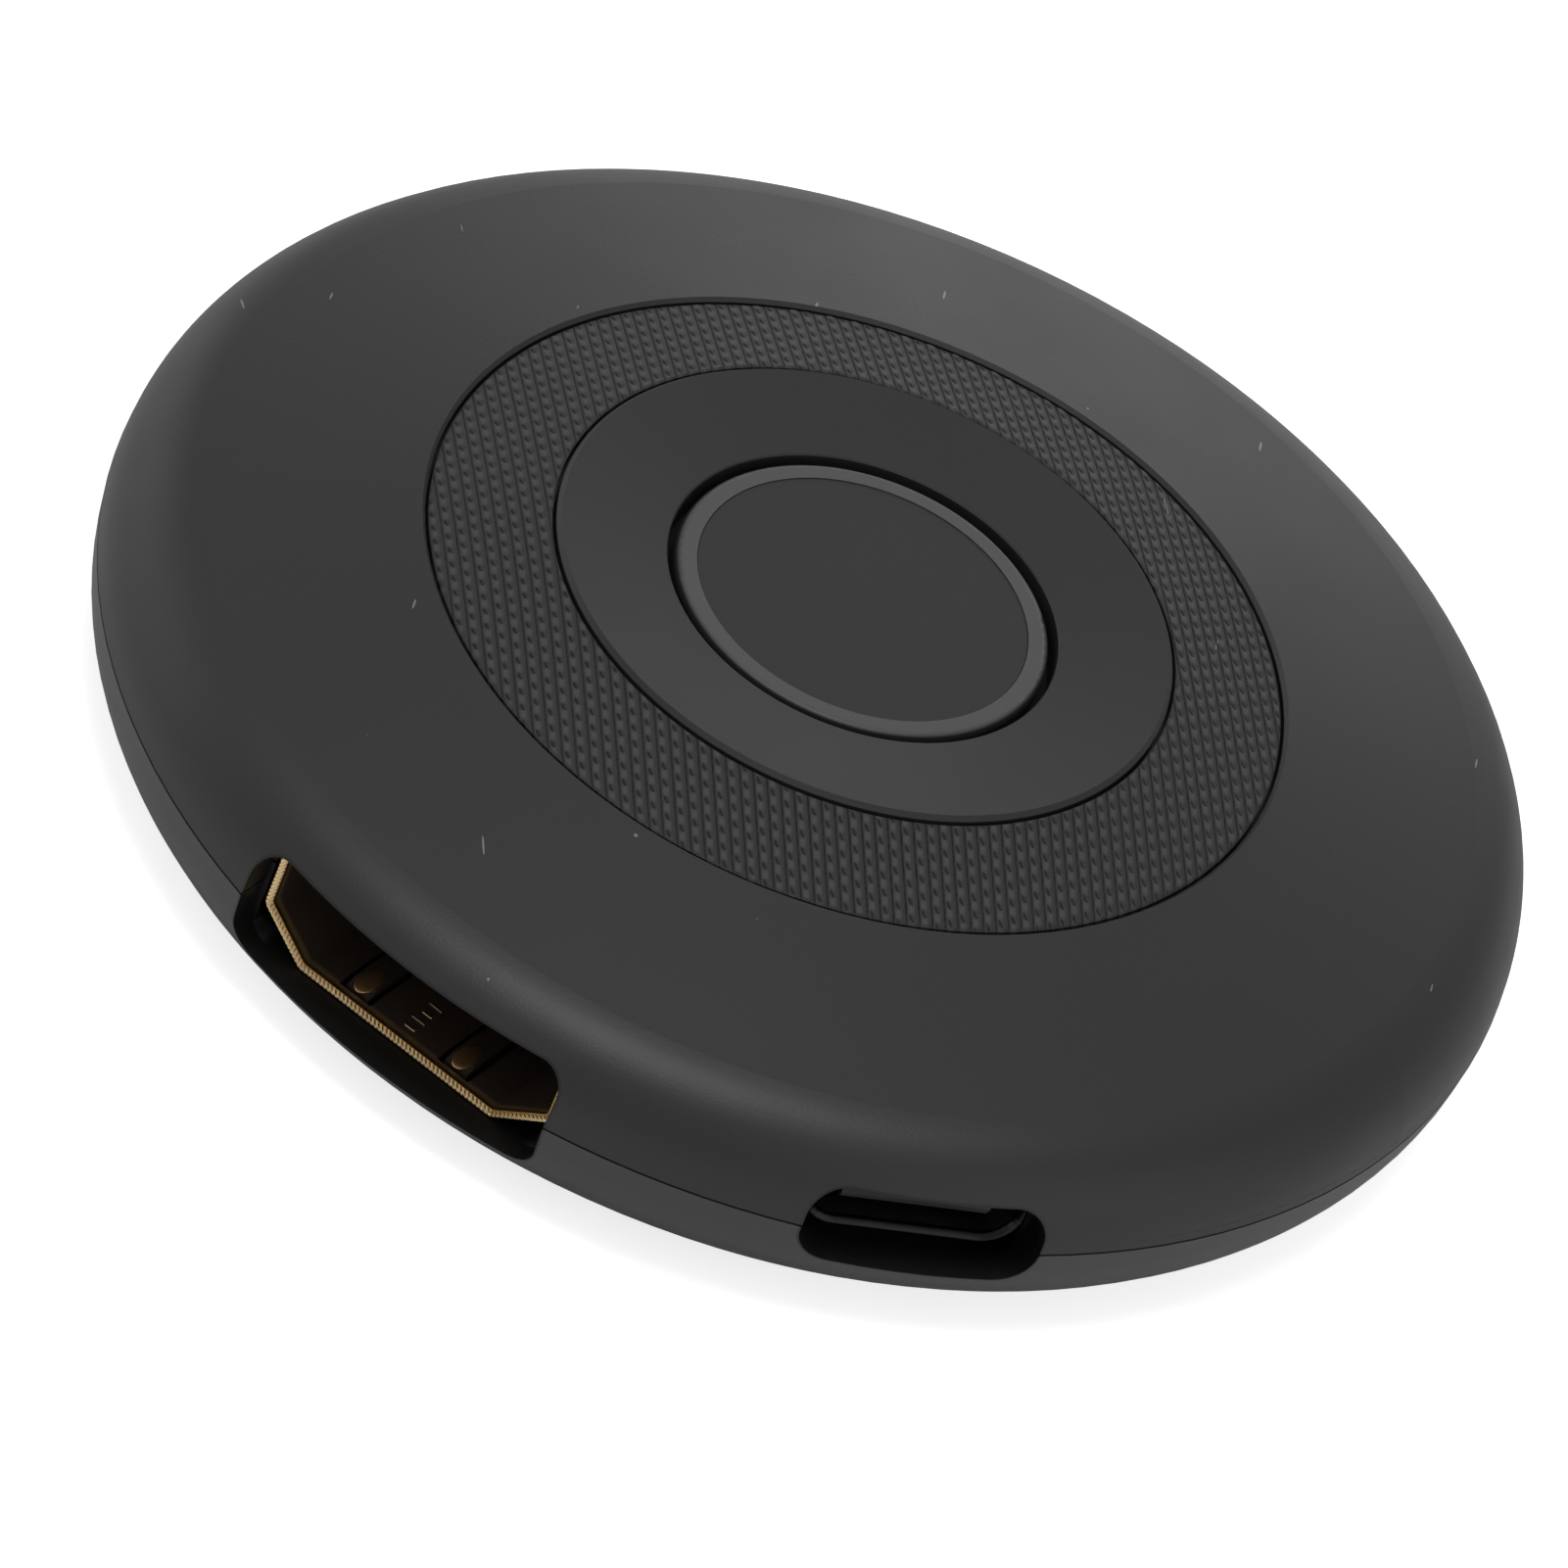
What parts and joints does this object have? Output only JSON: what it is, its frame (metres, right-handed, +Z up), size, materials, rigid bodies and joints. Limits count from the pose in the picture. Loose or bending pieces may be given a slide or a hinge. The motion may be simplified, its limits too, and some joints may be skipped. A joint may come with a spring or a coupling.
{
  "type": "wireless display adapter",
  "caption": "Round domed wireless display adapter with a press button, a textured inlay ring, a video socket and an oval power socket.",
  "frame": {"origin": "centre of the foot ring's lower face, on the surface the adapter stands on", "axes": "+Z up through the button; -Y is the way the video socket opens; +X is to the right of it, towards the power socket"},
  "size_m": [0.06, 0.0593, 0.0119],
  "materials": {
    "cover_plastic": "fine spark-eroded matte black",
    "ring_plastic": "black with small moulded pillow texture",
    "panel_plastic": "smooth matte black",
    "rim_plastic": "smoked translucent light guide",
    "face_plastic": "satin black face plate",
    "foot_rubber": "matte black rubber",
    "screw_steel": "zinc plated steel",
    "board_black": "black solder-masked glass-fibre board",
    "shell_gold": "gold-plated stamped sheet",
    "shell_steel": "dark nickel-plated steel",
    "insulator_black": "black glass-filled plastic",
    "contact_gold": "gold-plated spring contacts",
    "chip_black": "black moulded chip package",
    "pad_grey": "soft grey-blue silicone pad",
    "sink_aluminium": "extruded aluminium",
    "can_metal": "tin-plated sheet",
    "ceramic_cream": "sintered ceramic",
    "ferrite_grey": "ground ferrite",
    "capacitor_body": "sintered ceramic with tinned ends",
    "resistor_body": "black glazed film with tinned ends",
    "led_lens": "clear resin",
    "switch_steel": "stainless sheet",
    "plunger_plastic": "dark grey nylon"
  },
  "bodies": {
    "housing": {"bottom_cover": "cover_plastic", "foot_ring": "foot_rubber", "cover_screws": "screw_steel", "main_board": "board_black", "video_shell": "shell_gold", "video_insulator": "insulator_black", "video_contacts": "contact_gold", "power_shell": "shell_steel", "power_insulator": "insulator_black", "power_contacts": "contact_gold", "main_chip": "chip_black", "thermal_pad": "pad_grey", "heat_sink": "sink_aluminium", "memory_chips": "chip_black", "storage_chip": "chip_black", "radio_chip": "chip_black", "radio_shield": "can_metal", "antenna": "ceramic_cream", "power_chip": "chip_black", "inductors": "ferrite_grey", "capacitors": "capacitor_body", "resistors": "resistor_body", "crystals": "can_metal", "status_leds": "led_lens", "switch_body": "insulator_black", "switch_terminals": "can_metal", "switch_dome": "switch_steel", "switch_cover": "switch_steel", "top_cover": "cover_plastic", "texture_ring": "ring_plastic", "centre_panel": "panel_plastic"},
    "button": {"button_cap": "rim_plastic", "button_face": "face_plastic", "switch_plunger": "plunger_plastic"}
  },
  "joints": [
    {"name": "button_press", "type": "slide", "parent": "housing", "child": "button", "axis": [0, 0, -1], "range_m": [0, 0.0004], "stiffness_N_per_m": 4000, "springref_m": -0.0001, "deforming": ["switch_dome"]}
  ]
}
